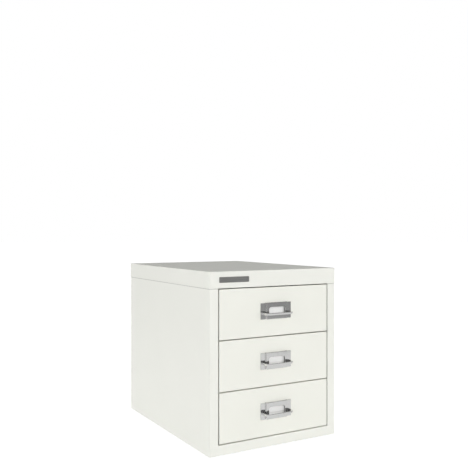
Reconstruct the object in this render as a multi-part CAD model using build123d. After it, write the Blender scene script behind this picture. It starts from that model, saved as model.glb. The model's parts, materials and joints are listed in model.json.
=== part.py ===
from build123d import *
import os

os.makedirs("parts", exist_ok=True)

# A small desktop cabinet of three steel drawers. Millimetres, +Z up, front towards -Y.
# The origin is the middle of the overall box, at the surface it stands on.

# Case
lid_width = 279.0
lid_depth = 380.0
body_height = 325.0  # underside of the base to the top of the lid
lid_skirt = 30.0
lid_clearance = 0.1  # between the skirt and the case it slips over
lid_sheet = 0.7
lid_edge_inside = 0.4  # radius inside the lid's top edge
lid_hem_land = 0.1  # flat left inside the skirt's rounded lower edge
case_sheet = 0.9
corner_radius = 3.0  # the case's upright corners
bend_inside = 0.1  # radius inside a tight fold
stile_width = 17.7
rail_height = 18.0
fold_depth = 14.0  # how far the folds round the drawer opening run back
rail_tuck = 1.0  # top rail above the skirt's edge
top_gap = 1.2  # side panels below the lid's sheet
rear_flange = 12.0
pan_flange = 12.0  # upturned sides of the base
pan_rear_flange = 15.0
rear_rail_leg = 20.0

# Drawers
drawer_count = 3
drawer_gap = 1.9  # visible line round each drawer front
front_edge_radius = 0.6
front_sheet = 0.9
front_depth = 13.0  # double-skinned front, plate to rear lip
front_side_lip = 13.0
front_end_lip = 10.0
tray_sheet = 0.8
tray_lift = 4.0  # tray floor above the bottom of its front
tray_bend = 1.6
flange_drop = 14.4  # tray's side flange below the top of its front
front_wall_drop = 6.4  # tray's front wall below the top of its front
screw_access = 5.5  # radius of the holes that a screwdriver passes through

# Runners, posts and glides
runner_sheet = 1.0
runner_bend = 1.3
runner_leg = 10.4
runner_front_gap = 2.0  # runner behind the folds round the opening
runner_end_gap = 14.0  # in front of the case's back
side_clearance = 1.0  # tray to the tips of the runner's legs
running_gap = 0.3
rivet_gap = 0.3  # shoe to the runner rivets' heads
shoe_wall = 1.3  # shoe beside the flange's edge
shoe_under = 2.0
shoe_over = 3.6
shoe_length = 36.0
shoe_setback = 2.0  # shoe ahead of the tray's back
shoe_wall_gap = 0.7
pad_setback = 1.0
pad_length = 11.0
pad_peg_radius = 1.5
nylon_edge = 0.6
stop_thickness = 3.0
stop_clearance = 1.2  # stop tab above the flange that passes under it
stop_inset = 1.6  # stop tab in from the leg's tip
stop_width = 6.0
post_width = 24.0
post_flange = 8.0
post_rear_gap = 20.0

# Buffers, feet and fasteners
buffer_radius = 6.0
buffer_edge = 2.0
buffer_length = 8.0
buffer_peg_radius = 2.4
buffer_spread = 70.0  # from the middle of the back
foot_height = 2.0
foot_radius = 11.0
foot_edge = 0.5
foot_stem_radius = 3.8
foot_barb = 2.2
foot_barb_radius = 5.0
foot_inset = 26.0
rivet_radius = 1.6
rivet_head_radius = 3.0
rivet_head = 0.7
rivet_edge = 0.4
rivet_tail = 1.2
rivet_tail_radius = 2.4
hole_clearance = 0.05
back_rivets_per_side = 5
back_rivet_margin = 22.0
stud_radius = 2.5
stud_length = 8.0
stud_spread = 90.0
stud_from_fold = 7.0
nut_flats = 8.0
nut_height = 4.0

# Handle with its label pocket
handle_rise = 1.2  # handle above the middle of the drawer front
plate_width = 67.0
handle_height = 30.0
plate_sheet = 1.0
pocket_width = 48.0  # on the drawer's face; the pocket narrows towards the front
pocket_depth = 5.3
pocket_rise = 1.5  # pocket above the flanges' top, at the drawer's face
pocket_side_draft = 1.7
pocket_top_draft = 0.5
pocket_bottom_draft = 0.3
handle_wall = 1.0
pocket_edge = 0.6
window_width = 35.4
window_top = 7.5
window_bottom = -2.0
window_radius = 4.5
lip_width = 62.0
handle_reach = 19.0
lip_corner = 9.0
lip_wall = 1.2
lip_rim = 4.2
lip_draft = 1.4  # the rim's lower edge stands back from its upper one
lip_edge_radius = 1.3
shelf_drop = 1.5  # card shelf below the window
card_thickness = 0.3
card_cover = 0.5  # card past each side of the window
card_rear_gap = 0.5  # card in front of the drawer's face
card_side_gap = 0.3
card_top_gap = 2.0  # card below the flanges' top
card_rib = 0.8
card_rib_gap = 0.1
card_rib_reach = 1.0  # ribs over the card's edges, above the window
card_ledge = 0.5  # in front of the card's lower edge
boss_radius = 3.0
boss_spread = 17.0
boss_height = -11.2  # from the handle's middle
screw_radius = 1.7
screw_head_radius = 3.4
screw_head = 2.2
screw_head_edge = 0.7
screw_tip_gap = 0.6  # screw's tip to the inside of the pocket's face
plate_hole_clearance = 0.15

# Badge plate, left blank
badge_width = 61.3
badge_height = 10.1
badge_thickness = 0.8
badge_corner = 1.5
badge_edge = 0.25
badge_drop = 9.9  # below the top of the lid
badge_inset = 1.3  # inside the drawer opening's edge

past = 1.0  # how far a cut runs past the face it opens

# Places worked out from the sizes above
bend_radius = case_sheet + bend_inside
lid_edge_radius = lid_sheet + lid_edge_inside
lid_hem_radius = lid_sheet - lid_hem_land
lid_proud = lid_clearance + lid_sheet
half_width = lid_width / 2 - lid_proud
inner_half = half_width - case_sheet
flat_half = half_width - corner_radius  # up to the side panels' upright bends
opening_half = half_width - stile_width
case_depth = lid_depth - 2 * lid_proud
front = (handle_reach - case_depth - lid_proud) / 2
back = front + case_depth
base = foot_height
lid_top = base + body_height
lid_under = lid_top - lid_sheet
side_top = lid_under - top_gap
skirt_edge = lid_top - lid_skirt
rail_top = base + rail_height
pan_top = base + case_sheet
back_face = back - case_sheet  # rear face of the back panel
back_inside = back_face - case_sheet

front_half = opening_half - drawer_gap
gaps = (drawer_count + 1) * drawer_gap
front_height = (skirt_edge - rail_top - gaps) / drawer_count
tray_half = opening_half - runner_leg - side_clearance
tray_front = front + front_depth
tray_back = back_inside - buffer_length - running_gap
runner_web = opening_half + case_sheet
runner_face = runner_web - runner_sheet
runner_tip = opening_half - runner_leg
shoe_edge = runner_face - rivet_head - rivet_gap
flange_edge = shoe_edge - shoe_wall
pad_across = (runner_tip + flange_edge) / 2
runner_front = front + max(front_depth, fold_depth) + runner_front_gap
runner_back = back - runner_end_gap
pad_front = runner_front + pad_setback
stop_back = pad_front + pad_length
shoe_back = tray_back - shoe_setback
shoe_front = shoe_back - shoe_length
front_post = runner_front + post_flange
rear_post = back - post_rear_gap - post_width
travel = shoe_front - stop_back
lip_top = window_bottom
face_back = pocket_depth - handle_wall
face_half = pocket_width / 2 - pocket_side_draft - handle_wall  # inside the pocket, at its face
shelf_top = window_bottom - shelf_drop
card_half = window_width / 2 + card_cover
card_face = card_rear_gap + card_thickness
card_top = handle_height / 2 - card_top_gap
screw_tip = face_back - screw_tip_gap
rivet_hole = rivet_radius + hole_clearance


def block(x, y, z):
    # A box from three (low, high) pairs.
    size = [high - low for low, high in (x, y, z)]
    middle = [(low + high) / 2 for low, high in (x, y, z)]
    return Pos(*middle) * Box(*size)


def rod(radius, start, end, axis, at):
    # A round bar along X, Y or Z between two stations, at a place across the axis.
    middle = (start + end) / 2
    if axis == "X":
        return Pos(middle, *at) * Rot(0, 90, 0) * Cylinder(radius, end - start)
    if axis == "Y":
        return Pos(at[0], middle, at[1]) * Rot(90, 0, 0) * Cylinder(radius, end - start)
    return Pos(*at, middle) * Cylinder(radius, end - start)


def folded(points, radii, sheet):
    # Section of folded sheet: its outer line, with the metal on the left of it.
    line = FilletPolyline(*points, radius=radii)
    return make_face(offset(line, amount=sheet, side=Side.LEFT))


def along_x(section, start, end):
    return extrude(Plane.YZ.offset(start) * section, amount=end - start)


def along_y(section, start, end):
    place = Plane(origin=(0, end, 0), x_dir=(1, 0, 0), z_dir=(0, -1, 0))
    return extrude(place * section, amount=end - start)


def along_z(section, start, end):
    return extrude(Plane.XY.offset(start) * section, amount=end - start)


def left_of(part):
    return mirror(part, about=Plane.YZ)


def save(name, shape):
    export_step(shape, f"parts/{name}.step")


def save_group(name, shapes):
    save(name, Compound([solid for shape in shapes for solid in shape.solids()]))


def save_pair(name, right):
    save(f"{name}_right", right)
    save(f"{name}_left", left_of(right))


def both_sides(shapes):
    return shapes + [left_of(shape) for shape in shapes]


def drawer_bottom(number):
    # Drawer 1 is the top one.
    return rail_top + drawer_gap + (drawer_count - number) * (front_height + drawer_gap)


def flange_top(number):
    return drawer_bottom(number) + front_height - flange_drop


def slot_floor(number):
    return flange_top(number) - tray_sheet - shoe_under - running_gap


def slot_ceiling(number):
    return flange_top(number) + shoe_over + running_gap


def slot_middle(number):
    return (slot_floor(number) + slot_ceiling(number)) / 2


def handle_middle(number):
    return drawer_bottom(number) + front_height / 2 + handle_rise


def buffer_middle(number):
    return (drawer_bottom(number) + tray_lift + flange_top(number)) / 2


drawers = range(1, drawer_count + 1)
post_middles = [front_post + post_width / 2, rear_post + post_width / 2]
back_rivet_x = half_width - rear_flange / 2
back_rivet_low = base + back_rivet_margin
back_rivet_high = skirt_edge - back_rivet_margin
back_rivet_step = (back_rivet_high - back_rivet_low) / (back_rivets_per_side - 1)
back_rivet_heights = [back_rivet_low + i * back_rivet_step for i in range(back_rivets_per_side)]
buffer_places = [(x, buffer_middle(n)) for n in drawers for x in (-buffer_spread, buffer_spread)]
foot_places = {
    "front_left": (-half_width + foot_inset, front + foot_inset),
    "front_right": (half_width - foot_inset, front + foot_inset),
    "rear_left": (-half_width + foot_inset, back - foot_inset),
    "rear_right": (half_width - foot_inset, back - foot_inset),
}
stud_places = [
    (x, y)
    for x in (-stud_spread, stud_spread)
    for y in (front + stud_from_fold, back_inside - case_sheet - stud_from_fold)
]


def side_panel():
    # Right-hand side: stile folded back at the opening, side, and rear flange.
    outline = [
        (half_width, front),
        (half_width, back),
        (half_width - rear_flange, back),
    ]
    stile = [(opening_half, front + fold_depth), (opening_half, front)]
    upper = folded(stile + outline, [bend_radius, corner_radius, corner_radius], case_sheet)
    # Beside the bottom rail the fold is notched away, so that the rail butts the stile.
    lower = folded([(opening_half, front)] + outline, corner_radius, case_sheet)
    panel = along_z(upper, rail_top, side_top) + along_z(lower, base, rail_top)
    for z in back_rivet_heights:
        panel -= rod(rivet_hole, back_face - past, back + past, "Y", (back_rivet_x, z))
    return panel


def back_panel():
    panel = block((-flat_half, flat_half), (back_inside, back_face), (base, side_top))
    rivet_places = [(x, z) for x in (-back_rivet_x, back_rivet_x) for z in back_rivet_heights]
    for place in rivet_places:
        panel -= rod(rivet_hole, back_inside - past, back_face + past, "Y", place)
    for place in buffer_places:
        hole = buffer_peg_radius + hole_clearance
        panel -= rod(hole, back_inside - past, back_face + past, "Y", place)
    return panel


def base_pan():
    # Floor with upturned sides and back; its front turns up into the bottom rail.
    rail = folded(
        [
            (front + fold_depth, rail_top),
            (front, rail_top),
            (front, base),
            (front + fold_depth, base),
        ],
        bend_radius,
        case_sheet,
    )
    pan = along_x(rail, -opening_half, opening_half)
    clear_of_bends = (front + corner_radius, back - corner_radius)
    between_bends = (-flat_half, flat_half)
    pan += block((-inner_half, inner_half), clear_of_bends, (base, pan_top))
    pan += block(between_bends, (front + case_sheet, back_inside), (base, pan_top))
    rear_edge = (back_inside - case_sheet, back_inside)
    pan += block(between_bends, rear_edge, (base, base + pan_rear_flange))
    side_edge = (front + fold_depth, back - corner_radius)
    for x in ((-inner_half, case_sheet - inner_half), (inner_half - case_sheet, inner_half)):
        pan += block(x, side_edge, (base, base + pan_flange))
    for place in foot_places.values():
        hole = foot_stem_radius + hole_clearance
        pan -= rod(hole, base - past, pan_top + past, "Z", place)
    return pan


def lid():
    # Inverted tray with studs under it for the two top rails.
    outer = extrude(RectangleRounded(lid_width, lid_depth, corner_radius + lid_proud), lid_skirt)
    outer = fillet(outer.faces().sort_by(Axis.Z)[-1].edges(), lid_edge_radius)
    outer = fillet(outer.faces().sort_by(Axis.Z)[0].edges(), lid_hem_radius)
    inner = extrude(
        RectangleRounded(
            lid_width - 2 * lid_sheet, lid_depth - 2 * lid_sheet, corner_radius + lid_clearance
        ),
        lid_skirt - lid_sheet,
    )
    inner = fillet(inner.faces().sort_by(Axis.Z)[-1].edges(), lid_edge_inside)
    shell = Pos(0, (front + back) / 2, skirt_edge) * (outer - inner)
    for place in stud_places:
        shell += rod(stud_radius, lid_under - stud_length, lid_under, "Z", place)
    return shell


def top_rail_holes(rail):
    for place in stud_places:
        hole = stud_radius + hole_clearance
        rail -= rod(hole, lid_under - case_sheet - past, lid_under + past, "Z", place)
    return rail


def front_top_rail():
    section = folded(
        [
            (front + fold_depth, lid_under),
            (front, lid_under),
            (front, skirt_edge + rail_tuck),
            (front + fold_depth, skirt_edge + rail_tuck),
        ],
        bend_radius,
        case_sheet,
    )
    return top_rail_holes(along_x(section, -opening_half, opening_half))


def rear_top_rail():
    section = folded(
        [
            (back_inside, lid_under - rear_rail_leg),
            (back_inside, lid_under),
            (back_inside - fold_depth, lid_under),
        ],
        bend_radius,
        case_sheet,
    )
    return top_rail_holes(along_x(section, -flat_half, flat_half))


def post(start):
    # Hat section welded to the inside of the right-hand side panel.
    end = start + post_width
    web = runner_web + case_sheet
    section = folded(
        [
            (inner_half, start - post_flange),
            (inner_half, start),
            (web, start),
            (web, end),
            (inner_half, end),
            (inner_half, end + post_flange),
        ],
        bend_radius,
        case_sheet,
    )
    hat = along_z(section, base + pan_flange, side_top)
    for number in drawers:
        at = (start + post_width / 2, slot_middle(number))
        hat -= rod(rivet_hole, runner_web - past, web + past, "X", at)
    return hat


def runner(number):
    # Right-hand channel that the tray's flange runs in, with a stop tab near its mouth.
    floor = slot_floor(number)
    ceiling = slot_ceiling(number)
    low = floor - runner_sheet
    high = ceiling + runner_sheet
    outline = [(runner_tip, low), (runner_web, low), (runner_web, high), (runner_tip, high)]
    channel = along_y(folded(outline, runner_bend, runner_sheet), runner_front, runner_back)
    tab_start = runner_tip + stop_inset
    channel += block(
        (tab_start, tab_start + stop_width),
        (stop_back - stop_thickness, stop_back),
        (flange_top(number) + stop_clearance, ceiling),
    )
    for y in post_middles:
        at = (y, slot_middle(number))
        channel -= rod(rivet_hole, runner_face - past, runner_web + past, "X", at)
    peg_hole = pad_peg_radius + hole_clearance
    peg_at = (pad_across, pad_front + pad_length / 2)
    return channel - rod(peg_hole, low - past, floor + past, "Z", peg_at)


def runner_pad(number):
    # Nylon pad pegged to the runner's lower leg, just under the flange.
    low = slot_floor(number)
    pad = block(
        (runner_tip, flange_edge),
        (pad_front, pad_front + pad_length),
        (low, flange_top(number) - tray_sheet - running_gap),
    )
    pad = fillet(pad.edges().filter_by(Axis.X).group_by(Axis.Z)[-1], nylon_edge)
    peg_at = (pad_across, pad_front + pad_length / 2)
    return pad + rod(pad_peg_radius, low - runner_sheet, low, "Z", peg_at)


def rivet(face, grip, axis, at, outward):
    # A domed head on the face, its shank through the grip and a set tail behind it.
    tail = face - outward * grip
    shank = rod(rivet_radius, min(face, tail), max(face, tail), axis, at)
    ends = sorted((face, face + outward * rivet_head))
    head = rod(rivet_head_radius, ends[0], ends[1], axis, at)
    rims = head.edges().sort_by({"X": Axis.X, "Y": Axis.Y}[axis])
    head = fillet(rims[-1] if outward > 0 else rims[0], rivet_edge)
    set_ends = sorted((tail, tail - outward * rivet_tail))
    return shank + head + rod(rivet_tail_radius, set_ends[0], set_ends[1], axis, at)


def runner_rivets():
    grip = runner_sheet + case_sheet
    return [
        rivet(runner_face, grip, "X", (y, slot_middle(number)), -1)
        for number in drawers
        for y in post_middles
    ]


def back_rivets():
    return [
        rivet(back, 2 * case_sheet, "Y", (back_rivet_x, z), 1) for z in back_rivet_heights
    ]


def lid_nuts():
    nuts = []
    nut_top = lid_under - case_sheet
    for place in stud_places:
        hexagon = Pos(*place) * RegularPolygon(nut_flats / 2, 6, major_radius=False)
        nut = along_z(hexagon, nut_top - nut_height, nut_top)
        hole = stud_radius + hole_clearance
        nuts.append(nut - rod(hole, nut_top - nut_height - past, nut_top + past, "Z", place))
    return nuts


def rear_buffer(x, z):
    # Rubber bumper pegged to the back panel, in line with a tray's back wall.
    bumper = rod(buffer_radius, back_inside - buffer_length, back_inside, "Y", (x, z))
    bumper = fillet(bumper.edges().sort_by(Axis.Y)[0], buffer_edge)
    return bumper + rod(buffer_peg_radius, back_inside, back_face, "Y", (x, z))


def foot(place):
    # Rubber disc under the base, held by a barbed stem.
    disc = rod(foot_radius, 0, base, "Z", place)
    disc = fillet(disc.edges().sort_by(Axis.Z)[0], foot_edge)
    stem = rod(foot_stem_radius, base, pan_top, "Z", place)
    barb = Pos(*place, pan_top + foot_barb / 2) * Cone(foot_barb_radius, foot_stem_radius, foot_barb)
    return disc + stem + barb


def badge_plate():
    left = badge_inset - opening_half
    middle = (left + badge_width / 2, lid_top - badge_drop - badge_height / 2)
    section = Pos(*middle) * RectangleRounded(badge_width, badge_height, badge_corner)
    skirt_face = front - lid_proud
    plate = along_y(section, skirt_face - badge_thickness, skirt_face)
    return chamfer(plate.faces().sort_by(Axis.Y)[0].edges(), badge_edge)


def drawer_front(number):
    # Pan with its folds turned in at the back, so that the tray's front wall can be welded on.
    low = drawer_bottom(number)
    high = low + front_height
    pan = block((-front_half, front_half), (front, tray_front), (low, high))
    pan = fillet(pan.faces().sort_by(Axis.Y)[0].edges(), front_edge_radius)
    hollow_x = (front_sheet - front_half, front_half - front_sheet)
    hollow_z = (low + front_sheet, high - front_sheet)
    plate_back = front + front_sheet
    pan -= block(hollow_x, (plate_back, tray_front - front_sheet), hollow_z)
    pan -= block(
        (hollow_x[0] + front_side_lip, hollow_x[1] - front_side_lip),
        (tray_front - front_sheet - past, tray_front + past),
        (hollow_z[0] + front_end_lip, hollow_z[1] - front_end_lip),
    )
    for x in (-boss_spread, boss_spread):
        at = (x, handle_middle(number) + boss_height)
        hole = screw_radius + plate_hole_clearance
        pan -= rod(hole, front - past, plate_back + past, "Y", at)
    return pan


def drawer_tray(number):
    # Folded tray: floor, four walls, and a flange each side that hangs in the runners.
    low = drawer_bottom(number) + tray_lift
    top = flange_top(number)
    wall_top = drawer_bottom(number) + front_height - front_wall_drop
    body = block((-tray_half, tray_half), (tray_front, tray_back), (low, top))
    body = fillet(body.edges().filter_by(Axis.Y).group_by(Axis.Z)[0], tray_bend)
    inside_half = tray_half - tray_sheet
    inside = block(
        (-inside_half, inside_half),
        (tray_front + tray_sheet, tray_back - tray_sheet),
        (low + tray_sheet, top + past),
    )
    inside_floor_edges = inside.edges().filter_by(Axis.Y).group_by(Axis.Z)[0]
    inside = fillet(inside_floor_edges, tray_bend - tray_sheet)
    tray = body - inside
    front_wall = (tray_front, tray_front + tray_sheet)
    tray += block((-tray_half, tray_half), front_wall, (low + tray_bend, wall_top))
    for x in ((-flange_edge, -inside_half), (inside_half, flange_edge)):
        tray += block(x, (tray_front, tray_back), (top - tray_sheet, top))
    for x in (-boss_spread, boss_spread):
        at = (x, handle_middle(number) + boss_height)
        tray -= rod(screw_access, front_wall[0] - past, front_wall[1] + past, "Y", at)
    return tray


def drawer_shoe(number):
    # Nylon shoe clipped on the rear of the right-hand flange; it meets the stop tab.
    under = flange_top(number) - tray_sheet
    shoe = block(
        (tray_half + shoe_wall_gap, shoe_edge),
        (shoe_front, shoe_back),
        (slot_floor(number) + running_gap, slot_ceiling(number) - running_gap),
    )
    shoe = fillet(shoe.edges().filter_by(Axis.X), nylon_edge)
    slot_y = (shoe_front - past, shoe_back + past)
    return shoe - block((tray_half, flange_edge), slot_y, (under, under + tray_sheet))


def handle_lip():
    # Shallow inverted tray that the fingers pull on.
    def plan(shrink, back_edge):
        half = lip_width / 2 - shrink
        reach = handle_reach - shrink
        outline = Polyline(
            (-half, back_edge), (-half, -reach), (half, -reach), (half, back_edge), close=True
        )
        shape = make_face(outline)
        return fillet(shape.vertices().group_by(Axis.Y)[0], lip_corner - shrink)

    lip_low = lip_top - lip_rim
    lower = Pos(0, 0, lip_low) * plan(lip_draft, -plate_sheet)
    lip = loft([lower, Pos(0, 0, lip_top) * plan(0, -plate_sheet)])
    front_edges = lip.faces().sort_by(Axis.Z)[-1].edges().group_by(Axis.Y)[:-1]
    lip = fillet([edge for group in front_edges for edge in group], lip_edge_radius)
    hollow = plan(lip_draft + lip_wall, 0)
    return lip - along_z(hollow, lip_low - past, lip_top - lip_wall)


def pocket_block(start, end, wall):
    # The drafted pocket between two depths, less its wall all round.
    sections = []
    for y in (end, start):
        share = -y / pocket_depth
        half = pocket_width / 2 - share * pocket_side_draft - wall
        high = handle_height / 2 + pocket_rise - share * pocket_top_draft - wall
        low = share * pocket_bottom_draft + wall - handle_height / 2
        place = Plane(origin=(0, y, 0), x_dir=(1, 0, 0), z_dir=(0, -1, 0))
        sections.append(place * Pos(0, (high + low) / 2) * Rectangle(2 * half, high - low))
    return loft(sections)


def handle():
    # Cast handle about its middle on the drawer's face: flanges, label pocket, window and lip.
    half_plate = plate_width / 2
    half_height = handle_height / 2
    body = block((-half_plate, half_plate), (-plate_sheet, 0), (-half_height, half_height))
    pocket = pocket_block(-pocket_depth, 0, 0)
    body += fillet(pocket.faces().sort_by(Axis.Y)[0].edges(), pocket_edge)
    body += handle_lip()
    body -= pocket_block(-face_back, past, handle_wall)
    # The top is open for the label card. It stands on a shelf, behind a ledge and two ribs.
    rib_low = window_top + handle_wall
    open_top = (rib_low, half_height + pocket_rise + past)
    body -= block((-face_half, face_half), (-face_back, past), open_top)
    wall_half = face_half + handle_wall
    shelf = (shelf_top - handle_wall, shelf_top)
    body += block((-wall_half, wall_half), (-face_back, 0), shelf)
    rib_back = -card_face - card_rib_gap
    rib_front = rib_back - card_rib
    guide = card_half + card_side_gap
    ledge = (shelf_top, shelf_top + card_ledge)
    body += block((-guide, guide), (rib_front, rib_back), ledge)
    for side in (-1, 1):
        beside = sorted((side * guide, side * wall_half))
        over = sorted((side * (card_half - card_rib_reach), side * wall_half))
        body += block(beside, (rib_front, 0), (shelf_top, card_top))
        body += block(over, (rib_front, rib_back), (rib_low, card_top))
        at = (side * boss_spread, boss_height)
        body += rod(boss_radius, -face_back, 0, "Y", at)
        body -= rod(screw_radius + hole_clearance, -screw_tip, past, "Y", at)
    window = Pos(0, (window_top + window_bottom) / 2) * Rectangle(
        window_width, window_top - window_bottom
    )
    window = fillet(window.vertices().group_by(Axis.Y)[-1], window_radius)
    return body - along_y(window, -pocket_depth - past, -face_back)


def handle_screw(side):
    # Pan-head screw from inside the drawer front into a boss of the handle.
    at = (side * boss_spread, boss_height)
    shank = rod(screw_radius, -screw_tip, front_sheet, "Y", at)
    head = rod(screw_head_radius, front_sheet, front_sheet + screw_head, "Y", at)
    head = fillet(head.edges().sort_by(Axis.Y)[-1], screw_head_edge)
    return shank + head


def label_card():
    return block(
        (-card_half, card_half),
        (-card_face, -card_rear_gap),
        (shelf_top, card_top),
    )


save_pair("side_panel", side_panel())
save("back_panel", back_panel())
save("base_pan", base_pan())
save("lid", lid())
save("front_top_rail", front_top_rail())
save("rear_top_rail", rear_top_rail())
save_pair("front_post", post(front_post))
save_pair("rear_post", post(rear_post))
save_group("runner_rivets", both_sides(runner_rivets()))
save_group("back_rivets", both_sides(back_rivets()))
save_group("lid_nuts", lid_nuts())
save_group("rear_buffers", [rear_buffer(x, z) for x, z in buffer_places])
save_group("runner_pads", both_sides([runner_pad(number) for number in drawers]))
save("badge_plate", badge_plate())
for corner, place in foot_places.items():
    save(f"foot_{corner}", foot(place))
for number in drawers:
    save_pair(f"runner_{number}", runner(number))
    save(f"drawer_{number}_tray", drawer_tray(number))
    save(f"drawer_{number}_front", drawer_front(number))
    save_group(f"drawer_{number}_shoes", both_sides([drawer_shoe(number)]))
    at_handle = Pos(0, front, handle_middle(number))
    save(f"drawer_{number}_handle", at_handle * handle())
    save_group(f"drawer_{number}_handle_screws", [at_handle * handle_screw(s) for s in (-1, 1)])
    save(f"drawer_{number}_label_card", at_handle * label_card())

print("drawer travel", round(travel, 2))
print("front plane y", round(front, 2), "back plane y", round(back, 2))
print("drawer front height", round(front_height, 3), "width", round(2 * front_half, 3))
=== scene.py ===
import json
import math

import bmesh
import bpy
from mathutils import Matrix, Vector


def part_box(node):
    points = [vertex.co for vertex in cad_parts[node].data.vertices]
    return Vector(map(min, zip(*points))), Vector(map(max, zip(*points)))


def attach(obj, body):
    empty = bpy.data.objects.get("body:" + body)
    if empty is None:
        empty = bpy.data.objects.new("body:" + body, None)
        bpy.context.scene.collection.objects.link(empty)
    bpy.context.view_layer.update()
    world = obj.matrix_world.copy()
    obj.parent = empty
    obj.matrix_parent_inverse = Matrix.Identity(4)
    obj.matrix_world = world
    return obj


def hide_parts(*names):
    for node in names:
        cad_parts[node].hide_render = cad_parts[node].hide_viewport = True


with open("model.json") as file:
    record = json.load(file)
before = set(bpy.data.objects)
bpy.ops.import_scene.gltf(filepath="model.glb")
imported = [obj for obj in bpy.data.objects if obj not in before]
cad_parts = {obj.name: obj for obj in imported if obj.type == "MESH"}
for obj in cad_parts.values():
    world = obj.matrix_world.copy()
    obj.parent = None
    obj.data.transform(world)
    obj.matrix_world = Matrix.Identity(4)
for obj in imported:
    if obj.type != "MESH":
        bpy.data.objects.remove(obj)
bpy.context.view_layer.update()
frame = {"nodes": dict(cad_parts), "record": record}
mm = 0.001
print("frame loaded:", len(frame["nodes"]), "nodes")


# Shader helpers

toneStops = (0.3, 0.7)  # noise at which a mottled colour is darkest and lightest


def newMaterial(name):
    material = bpy.data.materials.new(name)
    material.use_nodes = True
    tree = material.node_tree
    place = tree.nodes.new("ShaderNodeTexCoord").outputs["Object"]
    return material, tree, tree.nodes["Principled BSDF"], place


def stretched(tree, place, scale):
    # The object's coordinates, drawn out for a brushed or rolled finish
    mapping = tree.nodes.new("ShaderNodeMapping")
    mapping.inputs["Scale"].default_value = scale
    tree.links.new(place, mapping.inputs["Vector"])
    return mapping.outputs["Vector"]


def noise(tree, place, scale, detail):
    texture = tree.nodes.new("ShaderNodeTexNoise")
    texture.inputs["Scale"].default_value = scale
    texture.inputs["Detail"].default_value = detail
    tree.links.new(place, texture.inputs["Vector"])
    return texture.outputs[0]


def grey(level):
    return (level, level, level, 1.0)


def setColour(tree, shader, factor, finish):
    # Runs the base colour from a slightly darker tone to the finish's own
    ramp = tree.nodes.new("ShaderNodeValToRGB")
    darker = tuple(part * finish["darkest"] for part in finish["colour"])
    tones = (darker, finish["colour"])
    for stop, position, tone in zip(ramp.color_ramp.elements, toneStops, tones):
        stop.position = position
        stop.color = (*tone, 1.0)
    tree.links.new(factor, ramp.inputs["Fac"])
    tree.links.new(ramp.outputs["Color"], shader.inputs["Base Color"])


def setRoughness(tree, shader, factor, finish):
    # Runs the roughness between the finish's two ends
    spread = tree.nodes.new("ShaderNodeMapRange")
    low, high = finish["roughness"]
    spread.inputs["To Min"].default_value = low
    spread.inputs["To Max"].default_value = high
    tree.links.new(factor, spread.inputs["Value"])
    tree.links.new(spread.outputs["Result"], shader.inputs["Roughness"])


def setRelief(tree, shader, layers):
    # Stacks bumps: each layer is a height, its depth in metres and its strength
    below = None
    for height, depth, strength in layers:
        bump = tree.nodes.new("ShaderNodeBump")
        bump.inputs["Distance"].default_value = depth
        bump.inputs["Strength"].default_value = strength
        tree.links.new(height, bump.inputs["Height"])
        if below is not None:
            tree.links.new(below, bump.inputs["Normal"])
        below = bump.outputs["Normal"]
    tree.links.new(below, shader.inputs["Normal"])


def mathNode(tree, operation, first, *others):
    # First is a socket; the others are sockets or numbers
    node = tree.nodes.new("ShaderNodeMath")
    node.operation = operation
    for value, entry in zip((first, *others), node.inputs):
        if isinstance(value, float):
            entry.default_value = value
        else:
            tree.links.new(value, entry)
    return node.outputs[0]


def setPaintedShade(tree, place, shader, shadeLines):
    # Paints shade into the base colour: darkens it in thin bands, each with its middle and width
    # along some axes
    split = tree.nodes.new("ShaderNodeSeparateXYZ")
    tree.links.new(place, split.inputs[0])
    across = {
        "x": mathNode(tree, "ABSOLUTE", split.outputs["X"]),  # alike on left and right
        "y": split.outputs["Y"],
        "z": split.outputs["Z"],
    }
    total = None
    for shadeLine in shadeLines:
        amount = None
        for axis, (middle, width) in shadeLine["bands"].items():
            band = mathNode(tree, "COMPARE", across[axis], middle, width / 2)
            amount = band if amount is None else mathNode(tree, "MULTIPLY", amount, band)
        amount = mathNode(tree, "MULTIPLY", amount, shadeLine["depth"])
        total = amount if total is None else mathNode(tree, "MAXIMUM", total, amount)
    # mixes the colour towards black where the painted shade lies
    blend = tree.nodes.new("ShaderNodeMix")
    blend.data_type = "RGBA"
    share, unshaded, shaded = (blend.inputs[i] for i in (0, 6, 7))  # the ones for colours
    colour = shader.inputs["Base Color"]
    tree.links.new(colour.links[0].from_socket, unshaded)
    shaded.default_value = grey(0.0)
    tree.links.new(total, share)
    tree.links.new(blend.outputs[2], colour)


# Finishes: colours are linear, and a noise is its scale and detail

casePaint = {
    "colour": (0.850, 0.855, 0.798),
    "darkest": 0.985,
    "clouds": (9.0, 3.0),
    "patches": (60.0, 3.0),
    "roughness": (0.36, 0.44),
    "waves": (14.0, 1.0),     # a sheet is never quite flat
    "wavesDepth": 0.0002,
    "wavesStrength": 1.0,
    "peel": (800.0, 2.0),     # orange peel about a millimetre across
    "peelDepth": 0.00001,
    "peelStrength": 0.5,
    "ior": 1.45,
    # painted shade: bands where the case's colour is darkened to stand for shadow
    "paintedShade": [
        {"bands": {"z": (0.2963, 0.0013)}, "depth": 0.32},  # painted shade line just under the lid's skirt, where its shadow falls
        # painted shade in the gap beside the drawers, on the stiles' folds
        {"bands": {"x": (0.1210, 0.0016), "y": (-0.1759, 0.0070)}, "depth": 0.45},
    ],
}
drawerPaint = {**casePaint, "colour": (0.860, 0.862, 0.796), "paintedShade": []}
trayPaint = {**drawerPaint, "colour": (0.840, 0.845, 0.785), "roughness": (0.46, 0.58)}


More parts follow.
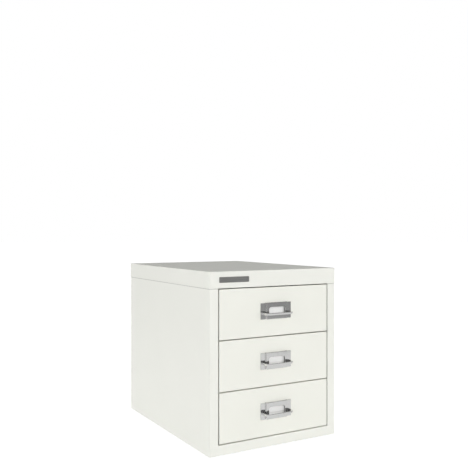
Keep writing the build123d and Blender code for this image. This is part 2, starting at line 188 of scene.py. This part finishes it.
def powderCoat(name, finish):
    material, tree, shader, place = newMaterial(name)
    setColour(tree, shader, noise(tree, place, *finish["clouds"]), finish)
    setRoughness(tree, shader, noise(tree, place, *finish["patches"]), finish)
    setRelief(tree, shader, [
        (noise(tree, place, *finish["waves"]), finish["wavesDepth"], finish["wavesStrength"]),
        (noise(tree, place, *finish["peel"]), finish["peelDepth"], finish["peelStrength"]),
    ])
    shader.inputs["IOR"].default_value = finish["ior"]
    # paints shade into the colour where the finish lists bands
    if finish["paintedShade"]:
        setPaintedShade(tree, place, shader, finish["paintedShade"])
    return material


chromeFinish = {
    "colour": (0.80, 0.80, 0.79),
    "darkest": 0.97,
    "clouds": (120.0, 2.0),
    "patches": (350.0, 3.0),
    "roughness": (0.07, 0.13),
    "ripple": (220.0, 1.0),
    "rippleDepth": 0.00003,
    "rippleStrength": 0.4,
}


def chromePlate(name, finish):
    material, tree, shader, place = newMaterial(name)
    setColour(tree, shader, noise(tree, place, *finish["clouds"]), finish)
    setRoughness(tree, shader, noise(tree, place, *finish["patches"]), finish)
    ripple = noise(tree, place, *finish["ripple"])
    setRelief(tree, shader, [(ripple, finish["rippleDepth"], finish["rippleStrength"])])
    shader.inputs["Metallic"].default_value = 1.0
    return material


zincFinish = {
    "colour": (0.52, 0.53, 0.54),
    "darkest": 0.86,
    "streaks": (900.0, 4.0),
    "grain": (1.0, 0.06, 1.0),  # runs along the axis whose scale is smallest
    "roughness": (0.26, 0.42),
    "depth": 0.00001,
    "strength": 0.6,
    "metallic": 1.0,
}
fastenerFinish = {
    **zincFinish,
    "colour": (0.50, 0.51, 0.52),
    "grain": (1.0, 1.0, 1.0),
    "roughness": (0.24, 0.36),
}
badgeFinish = {
    **zincFinish,
    "colour": (0.32, 0.32, 0.31),
    "grain": (0.04, 1.0, 1.0),
    "roughness": (0.34, 0.50),
    "metallic": 0.6,
}


def brushedMetal(name, finish):
    material, tree, shader, place = newMaterial(name)
    streaks = noise(tree, stretched(tree, place, finish["grain"]), *finish["streaks"])
    setColour(tree, shader, streaks, finish)
    setRoughness(tree, shader, streaks, finish)
    setRelief(tree, shader, [(streaks, finish["depth"], finish["strength"])])
    shader.inputs["Metallic"].default_value = finish["metallic"]
    return material


nylonFinish = {
    "colour": (0.74, 0.74, 0.68),
    "darkest": 0.9,
    "clouds": (70.0, 3.0),
    "grain": (500.0, 4.0),
    "roughness": (0.38, 0.50),
    "depth": 0.00001,
    "strength": 0.6,
}
rubberFinish = {
    **nylonFinish,
    "colour": (0.018, 0.018, 0.019),
    "grain": (900.0, 4.0),
    "roughness": (0.66, 0.82),
    "depth": 0.00003,
}
cardFinish = {
    **nylonFinish,
    "colour": (0.93, 0.93, 0.92),
    "darkest": 0.97,
    "grain": (1600.0, 4.0),
    "roughness": (0.80, 0.95),
    "depth": 0.00002,
}


def grainyStuff(name, finish):
    material, tree, shader, place = newMaterial(name)
    grain = noise(tree, place, *finish["grain"])
    setColour(tree, shader, noise(tree, place, *finish["clouds"]), finish)
    setRoughness(tree, shader, grain, finish)
    setRelief(tree, shader, [(grain, finish["depth"], finish["strength"])])
    return material


finishes = {
    "case_paint": powderCoat("casePowderCoat", casePaint),
    "drawer_paint": powderCoat("drawerPowderCoat", drawerPaint),
    "tray_paint": powderCoat("trayPowderCoat", trayPaint),
    "runner_zinc": brushedMetal("runnerZinc", zincFinish),
    "handle_chrome": chromePlate("handleChrome", chromeFinish),
    "fastener_steel": brushedMetal("fastenerSteel", fastenerFinish),
    "nylon": grainyStuff("glideNylon", nylonFinish),
    "rubber": grainyStuff("footRubber", rubberFinish),
    "label_card": grainyStuff("cardPaper", cardFinish),
    "badge_grey": brushedMetal("badgeSatin", badgeFinish),
}
for row in frame["record"]["subparts"]:
    frame["nodes"][row["node"]].material_slots[0].material = finishes[row["material_slot"]]
print("finishes on every node:", len(finishes))


# Mesh helpers; sizes in millimetres, each piece about its own middle

forwards, backwards = (0, -1, 0), (0, 1, 0)
upwards, downwards = (0, 0, 1), (0, 0, -1)
aligned = 0.999    # least cosine that counts as along an axis
weldGap = 0.001
sharpAngle = 32.0
barSides = 32


def block(low, high):
    mesh = bmesh.new()
    bmesh.ops.create_cube(mesh, size=1.0)
    low, high = Vector(low), Vector(high)
    bmesh.ops.scale(mesh, vec=high - low, verts=mesh.verts)
    bmesh.ops.translate(mesh, vec=(low + high) / 2, verts=mesh.verts)
    return mesh


def roundBar(radius, start, end, at):
    # A bar along the depth
    bar = bmesh.new()
    bmesh.ops.create_cone(
        bar, cap_ends=True, segments=barSides, radius1=radius, radius2=radius, depth=end - start,
    )
    quarterTurn = Matrix.Rotation(math.pi / 2, 3, "X")
    bmesh.ops.rotate(bar, cent=(0, 0, 0), matrix=quarterTurn, verts=bar.verts)
    bmesh.ops.translate(bar, vec=(at[0], (start + end) / 2, at[1]), verts=bar.verts)
    return bar


def middleOf(edge):
    return (edge.verts[0].co + edge.verts[1].co) / 2


def edgesAlong(mesh, axis, test=lambda middle: True):
    # Straight edges along an axis whose middles pass a test
    found = []
    for edge in mesh.edges:
        run = (edge.verts[1].co - edge.verts[0].co).normalized()
        if abs(run["XYZ".index(axis)]) > aligned and test(middleOf(edge)):
            found.append(edge)
    return found


def rimOf(face, test=lambda middle: True):
    return [edge for edge in face.edges if test(middleOf(edge))]


def facesTo(mesh, direction):
    mesh.normal_update()
    return [face for face in mesh.faces if face.normal.dot(Vector(direction)) > aligned]


def largestFaceTo(mesh, direction):
    return max(facesTo(mesh, direction), key=lambda face: face.calc_area())


def roundOver(mesh, edges, radius, segments):
    bmesh.ops.bevel(
        mesh, geom=edges, offset=radius, offset_type="OFFSET", affect="EDGES",
        segments=segments, profile=0.5, material=-1, clamp_overlap=True,
    )


def asObject(name, mesh):
    data = bpy.data.meshes.new(name)
    mesh.to_mesh(data)
    mesh.free()
    thing = bpy.data.objects.new(name, data)
    bpy.context.scene.collection.objects.link(thing)
    return thing


def joined(base, tools, operation):
    # Boolean of a mesh with others, one after the other
    baseThing = asObject("joining", base)
    toolThings = [asObject("tool", tool) for tool in tools]
    for tool in toolThings:
        cut = baseThing.modifiers.new("cut", "BOOLEAN")
        cut.object = tool
        cut.operation = operation
        cut.solver = "EXACT"
    bpy.context.view_layer.update()
    done = baseThing.evaluated_get(bpy.context.evaluated_depsgraph_get()).to_mesh()
    result = bmesh.new()
    result.from_mesh(done)
    for thing in [baseThing] + toolThings:
        bpy.data.objects.remove(thing)
    bmesh.ops.remove_doubles(result, verts=result.verts, dist=weldGap)
    return result


def finishPiece(name, mesh, place, slotName, body, nodes):
    # Puts a mesh in place in metres, with its normals, finish, body and nodes
    toMetres = Matrix.Translation(place) @ Matrix.Scale(mm, 4)
    bmesh.ops.transform(mesh, matrix=toMetres, verts=mesh.verts)
    bmesh.ops.remove_doubles(mesh, verts=mesh.verts, dist=weldGap * mm)
    bmesh.ops.recalc_face_normals(mesh, faces=mesh.faces)
    for face in mesh.faces:
        face.smooth = True
    piece = asObject(name, mesh)
    piece.data.set_sharp_from_angle(angle=math.radians(sharpAngle))
    weighted = piece.modifiers.new("flatFaces", "WEIGHTED_NORMAL")
    weighted.keep_sharp = True
    piece.data.materials.append(finishes[slotName])
    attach(piece, body)
    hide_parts(*nodes)


# Handles: cast plate, raised label pocket with a window, and a pull lip
# Corners and edges are a radius and its segments

handle = {
    "plate": (67.0, 1.0, 30.0),          # width, depth, height
    "plateCorner": (0.5, 4),
    "plateEdge": (0.25, 2),
    "pocket": (48.0, 5.3, -15.0, 16.5),  # width, depth, bottom, top, on the drawer's face
    "draft": (1.7, 0.3, 0.5),            # how far sides, bottom and top come in at the front
    "pocketEdge": (0.6, 4),
    "wall": 1.0,
    "window": (35.4, -2.0, 7.5),         # width, sill, head
    "windowCorner": (4.5, 10),
    "windowDraft": 0.35,
    "windowCut": (1.0, 0.5),             # how far its cutter runs out in front and behind
    "lip": (62.0, 18.84, 4.2),           # width, reach, height
    "lipTop": -2.0,
    "lipDraft": 1.4,                     # lower edge stands back from the upper one
    "lipCorner": (9.0, 14),
    "lipEdge": (1.3, 7),
    "lipUnder": (0.3, 2),
    "lipWall": 1.2,
    "shelfTop": -3.5,
    "guide": (18.5, 13.0),               # inner edge and top of the strips beside the card
    "rib": (17.2, 8.5),                  # inner edge and bottom of the ribs over the card
    "ribDepth": (0.9, 1.7),              # back and front of ribs and ledge
    "ledge": 0.5,                        # in front of the card's foot
    "bossRadius": 3.0,
    "bossPlace": (17.0, -11.2),          # aside and up from the middle
    "screwHole": 1.75,
    "screwTip": 3.7,
    "root": 0.5,                         # how far lip and ribs run into what carries them
    "shallowRoot": 0.2,                  # the same for pocket, shelf and bosses
    "past": 1.0,                         # how far cutters and the ledge's ends run on
}


def pullLip(spec):
    # Shallow tray turned over, with a rolled front edge
    width, reach, rim = spec["lip"]
    top, back = spec["lipTop"], -spec["root"]
    lip = block((-width / 2, -reach, top - rim), (width / 2, back, top))
    roundOver(lip, edgesAlong(lip, "Z", lambda m: m.y < -reach / 2), *spec["lipCorner"])
    narrower, shorter = 1 - 2 * spec["lipDraft"] / width, 1 - spec["lipDraft"] / reach
    bmesh.ops.scale(lip, vec=(narrower, shorter, 1), verts=facesTo(lip, downwards)[0].verts)
    for direction, rounding in ((upwards, "lipEdge"), (downwards, "lipUnder")):
        allButBack = rimOf(facesTo(lip, direction)[0], lambda m: m.y < 2 * back)
        roundOver(lip, allButBack, *spec[rounding])
    under = largestFaceTo(lip, downwards)
    wall = spec["lipWall"]
    bmesh.ops.inset_region(lip, faces=[under], thickness=wall, use_even_offset=True)
    raised = bmesh.ops.extrude_discrete_faces(lip, faces=[under])["faces"][0]
    bmesh.ops.translate(lip, vec=(0, 0, rim - wall), verts=raised.verts)
    return lip


def pocketBlock(spec, start, end, wall):
    # The drafted pocket between two depths, less its wall all round
    width, depth, bottom, top = spec["pocket"]
    sideDraft, bottomDraft, topDraft = spec["draft"]

    def outline(y):
        share = -y / depth
        half = width / 2 - share * sideDraft - wall
        return half, bottom + share * bottomDraft + wall, top - share * topDraft - wall

    half, low, high = outline(end)
    mesh = block((-half, start, low), (half, end, high))
    frontHalf, frontLow, frontHigh = outline(start)
    narrow = (frontHigh - frontLow) / (high - low)
    face = facesTo(mesh, forwards)[0]
    bmesh.ops.scale(mesh, vec=(frontHalf / half, 1, narrow), verts=face.verts)
    bmesh.ops.translate(mesh, vec=(0, 0, frontHigh - high * narrow), verts=face.verts)
    return mesh


def handlePlate(spec):
    width, depth, height = spec["plate"]
    plate = block((-width / 2, -depth, -height / 2), (width / 2, 0, height / 2))
    roundOver(plate, edgesAlong(plate, "Y"), *spec["plateCorner"])
    roundOver(plate, rimOf(facesTo(plate, forwards)[0]), *spec["plateEdge"])
    return plate


def labelPocket(spec):
    pocket = pocketBlock(spec, -spec["pocket"][1], -spec["shallowRoot"], 0)
    rear = list(facesTo(pocket, backwards)[0].edges)
    allButRear = [edge for edge in pocket.edges if edge not in rear]
    roundOver(pocket, allButRear, *spec["pocketEdge"])
    return pocket


def windowCutter(spec, face, faceBack):
    # Round-topped, and wider at the front
    width, sill, head = spec["window"]
    front, behind = spec["windowCut"]
    window = block((-width / 2, face - front, sill), (width / 2, faceBack + behind, head))
    roundOver(window, edgesAlong(window, "Y", lambda m: m.z > 0), *spec["windowCorner"])
    flare = [vert for vert in window.verts if vert.co.y < face]
    wider = 1 + 2 * spec["windowDraft"] / width
    taller = 1 + spec["windowDraft"] / (head - sill)
    about = Matrix.Translation((0, 0, -sill))
    bmesh.ops.scale(window, vec=(wider, 1, taller), space=about, verts=flare)
    return window


def cardRibs(spec, outerEdge):
    # Ledge at the card's foot, and on each side a guide with a rib over the card
    guideInner, guideTop = spec["guide"]
    ribInner, ribLow = spec["rib"]
    ribBack, ribFront = spec["ribDepth"]
    foot = spec["shelfTop"] - spec["root"]
    ledgeHalf, ledgeTop = guideInner + spec["past"], spec["shelfTop"] + spec["ledge"]
    ribs = [block((-ledgeHalf, -ribFront, foot), (ledgeHalf, -ribBack, ledgeTop))]
    for side in (-1, 1):
        outer = side * outerEdge
        near, far = sorted((side * guideInner, outer))
        ribs.append(block((near, -ribFront, foot), (far, 0, guideTop)))
        near, far = sorted((side * ribInner, outer))
        ribs.append(block((near, -ribFront, ribLow), (far, -ribBack, guideTop)))
    return ribs


def handleCasting(spec):
    pocketWidth, pocketDepth, _, pocketTop = spec["pocket"]
    wall, past, shelfTop = spec["wall"], spec["past"], spec["shelfTop"]
    faceBack = wall - pocketDepth
    faceHalf = pocketWidth / 2 - spec["draft"][0] - wall
    outer = faceHalf + wall
    solid = joined(handlePlate(spec), [labelPocket(spec), pullLip(spec)], "UNION")
    head = spec["window"][2]
    openTop = block((-faceHalf, faceBack, head + wall), (faceHalf, past, pocketTop + past))
    hollow = pocketBlock(spec, faceBack, past, wall)
    window = windowCutter(spec, -pocketDepth, faceBack)
    solid = joined(solid, [hollow, openTop, window], "DIFFERENCE")
    inFace = faceBack - spec["shallowRoot"]
    shelf = block((-outer, inFace, shelfTop - wall), (outer, 0, shelfTop))
    across, drop = spec["bossPlace"]
    spots = [(x, drop) for x in (-across, across)]
    bosses = [roundBar(spec["bossRadius"], inFace, 0, spot) for spot in spots]
    solid = joined(solid, [shelf] + cardRibs(spec, outer) + bosses, "UNION")
    holes = [roundBar(spec["screwHole"], -spec["screwTip"], past, spot) for spot in spots]
    return joined(solid, holes, "DIFFERENCE")


# Label cards, plain

card = {
    "width": 36.4,
    "low": -3.5,
    "high": 13.0,
    "thickness": 0.3,
    "corner": (0.8, 4),
    "edge": (0.05, 1),
}


def labelCard(spec, face):
    half, back = spec["width"] / 2, face + spec["thickness"]
    sheet = block((-half, face, spec["low"]), (half, back, spec["high"]))
    roundOver(sheet, edgesAlong(sheet, "Y"), *spec["corner"])
    roundOver(sheet, rimOf(facesTo(sheet, forwards)[0]), *spec["edge"])
    return sheet


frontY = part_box("drawer_1_front")[0].y
for number in (1, 2, 3):
    body = f"drawer_{number}"
    handleNode, cardNode = f"{body}_handle", f"{body}_label_card"
    middle = Vector((0, frontY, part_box(handleNode)[0].z - handle["pocket"][2] * mm))
    casting = handleCasting(handle)
    finishPiece(f"handle_{number}", casting, middle, "handle_chrome", body, [handleNode])
    sheet = labelCard(card, (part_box(cardNode)[0].y - frontY) / mm)
    finishPiece(f"card_{number}", sheet, middle, "label_card", body, [cardNode])
print("handles and cards in place")


# Badge plate, blank, with a raised border

badge = {"corner": (1.5, 6), "edge": (0.2, 2), "border": 0.7, "sunk": 0.25}


def badgePlate(spec, size):
    plate = block(-size / 2, size / 2)
    roundOver(plate, edgesAlong(plate, "Y"), *spec["corner"])
    roundOver(plate, rimOf(facesTo(plate, forwards)[0]), *spec["edge"])
    field, sunk = largestFaceTo(plate, forwards), spec["sunk"]
    bmesh.ops.inset_region(plate, faces=[field], thickness=spec["border"], use_even_offset=True)
    bmesh.ops.inset_region(plate, faces=[field], thickness=sunk, depth=-sunk, use_even_offset=True)
    return plate


low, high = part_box("badge_plate")
plate = badgePlate(badge, (high - low) / mm)
finishPiece("badge", plate, (low + high) / 2, "badge_grey", "carcass", ["badge_plate"])
print("badge in place")


# Stage: floor, surround that only reflections see, daylight, lamp

def seenDirectly(tree):
    # 1 for camera and glass rays, 0 for the light that falls on things
    path = tree.nodes.new("ShaderNodeLightPath").outputs
    return mathNode(tree, "MAXIMUM", path["Is Camera Ray"], path["Is Transmission Ray"])


def emission(tree, strength):
    glow = tree.nodes.new("ShaderNodeEmission")
    glow.inputs["Color"].default_value = grey(1.0)
    glow.inputs["Strength"].default_value = strength
    return glow


def greyRamp(tree, factor, stops, socket):
    ramp = tree.nodes.new("ShaderNodeValToRGB")
    elements = ramp.color_ramp.elements
    while len(elements) < len(stops):
        elements.new(1.0)
    for element, (position, level) in zip(elements, stops):
        element.position = position
        element.color = grey(level)
    tree.links.new(factor, ramp.inputs["Fac"])
    tree.links.new(ramp.outputs["Color"], socket)


def mixed(tree, factor, off, on):
    # The first shader where the factor is 0, and the second where it is 1
    node = tree.nodes.new("ShaderNodeMixShader")
    tree.links.new(factor, node.inputs["Fac"])
    tree.links.new(off.outputs[0], node.inputs[1])
    tree.links.new(on.outputs[0], node.inputs[2])
    return node


floorLook = {
    "radius": 30.0,
    "sides": 96,
    "colour": (0.84, 0.84, 0.84),
    "darkest": 0.99,
    "clouds": (1.2, 2.0),
    "roughness": 0.9,
    "white": 0.88,   # what the camera sees without any light
    "shadow": 0.30,  # how much the object's shadow shows
    # what metal mirrors, outwards from a middle, as shares of the reach
    "patchMiddle": (-0.5, -0.35, 0.0),
    "patchReach": 3.2,
    "patch": [(0.0, 0.75), (0.38, 0.75), (0.45, 0.47), (0.54, 0.45), (0.66, 0.30), (1.0, 0.30)],
}


def floorMaterial(spec):
    material, tree, shader, place = newMaterial("studioFloor")
    shader.inputs["Roughness"].default_value = spec["roughness"]
    shader.inputs["Specular IOR Level"].default_value = 0.0
    setColour(tree, shader, noise(tree, place, *spec["clouds"]), spec)
    faint = tree.nodes.new("ShaderNodeBsdfDiffuse")
    faint.inputs["Color"].default_value = grey(spec["shadow"])
    shown = tree.nodes.new("ShaderNodeAddShader")
    tree.links.new(faint.outputs[0], shown.inputs[0])
    tree.links.new(emission(tree, spec["white"]).outputs[0], shown.inputs[1])
    away = tree.nodes.new("ShaderNodeVectorMath")
    away.operation = "DISTANCE"
    away.inputs[1].default_value = spec["patchMiddle"]
    tree.links.new(place, away.inputs[0])
    share = mathNode(tree, "DIVIDE", away.outputs["Value"], spec["patchReach"])
    mirrored = emission(tree, 1.0)
    greyRamp(tree, share, spec["patch"], mirrored.inputs["Color"])
    lit = mixed(tree, seenDirectly(tree), shader, shown)
    glossy = tree.nodes.new("ShaderNodeLightPath").outputs["Is Glossy Ray"]
    look = mixed(tree, glossy, lit, mirrored)
    tree.links.new(look.outputs[0], tree.nodes["Material Output"].inputs["Surface"])
    return material


floorMesh = bmesh.new()
bmesh.ops.create_circle(
    floorMesh, cap_ends=True, segments=floorLook["sides"], radius=floorLook["radius"],
)
floor = asObject("floor", floorMesh)
floor.data.materials.append(floorMaterial(floorLook))

surroundLook = {
    "radius": 3.2,
    "height": 2.0,
    "sides": 64,
    "greys": [(0.0, 0.26), (0.32, 0.10), (1.0, 0.10)],  # upwards, by height in metres
}


def surroundMaterial(spec):
    # Dim wall that metal mirrors, darker with height
    material, tree, shader, place = newMaterial("studioSurround")
    tree.nodes.remove(shader)
    split = tree.nodes.new("ShaderNodeSeparateXYZ")
    tree.links.new(place, split.inputs[0])
    glow = emission(tree, 1.0)
    greyRamp(tree, split.outputs["Z"], spec["greys"], glow.inputs["Color"])
    tree.links.new(glow.outputs[0], tree.nodes["Material Output"].inputs["Surface"])
    return material


wallMesh = bmesh.new()
wallHeight, wallRadius = surroundLook["height"], surroundLook["radius"]
bmesh.ops.create_cone(
    wallMesh, cap_ends=False, segments=surroundLook["sides"],
    radius1=wallRadius, radius2=wallRadius, depth=wallHeight,
)
bmesh.ops.translate(wallMesh, vec=(0, 0, wallHeight / 2), verts=wallMesh.verts)
surround = asObject("surround", wallMesh)
surround.data.materials.append(surroundMaterial(surroundLook))
surround.visible_camera = False
surround.visible_diffuse = False
surround.visible_shadow = False
surround.visible_transmission = False

skyLook = {
    "daylight": [(0.0, 1.0), (0.30, 1.0), (0.45, 0.11), (1.0, 0.09)],  # by sine of the height
    "strength": 2.77,
}
world = bpy.data.worlds.new("studioWhite")
bpy.context.scene.world = world
world.use_nodes = True
sky = world.node_tree
daylight = sky.nodes["Background"]
daylight.inputs["Strength"].default_value = skyLook["strength"]
towards = sky.nodes.new("ShaderNodeSeparateXYZ")
sky.links.new(sky.nodes.new("ShaderNodeTexCoord").outputs["Generated"], towards.inputs[0])
greyRamp(sky, towards.outputs["Z"], skyLook["daylight"], daylight.inputs["Color"])
whiteBack = sky.nodes.new("ShaderNodeBackground")
whiteBack.inputs["Color"].default_value = grey(1.0)
whiteBack.inputs["Strength"].default_value = 1.0
both = mixed(sky, seenDirectly(sky), daylight, whiteBack)
sky.links.new(both.outputs[0], sky.nodes["World Output"].inputs["Surface"])

keyLamp = {
    "place": (0.3, -2.3, 1.9),
    "target": (0.0, 0.0, 0.17),
    "size": (1.0, 1.0),
    "power": 3.3,
}
light = bpy.data.lights.new("key", "AREA")
light.shape = "RECTANGLE"
light.size, light.size_y = keyLamp["size"]
light.energy = keyLamp["power"]
lamp = bpy.data.objects.new("key", light)
lamp.location = keyLamp["place"]
aim = Vector(keyLamp["target"]) - lamp.location
lamp.rotation_euler = aim.to_track_quat("-Z", "Y").to_euler()
bpy.context.scene.collection.objects.link(lamp)
print("stage and lamp set")


# Camera, as the photo's edges gave it

camera = {"place": (-0.6701, -1.1842, 0.3931), "lens": 50.0, "sensor": 36.0, "turn": -30.05}
cameraData = bpy.data.cameras.new("camera")
cameraData.lens = camera["lens"]
cameraData.sensor_width = camera["sensor"]
viewer = bpy.data.objects.new("camera", cameraData)
viewer.location = camera["place"]
viewer.rotation_euler = (math.pi / 2, 0, math.radians(camera["turn"]))
bpy.context.scene.collection.objects.link(viewer)
bpy.context.scene.camera = viewer
bpy.context.scene.view_settings.view_transform = "Standard"
print("camera set")
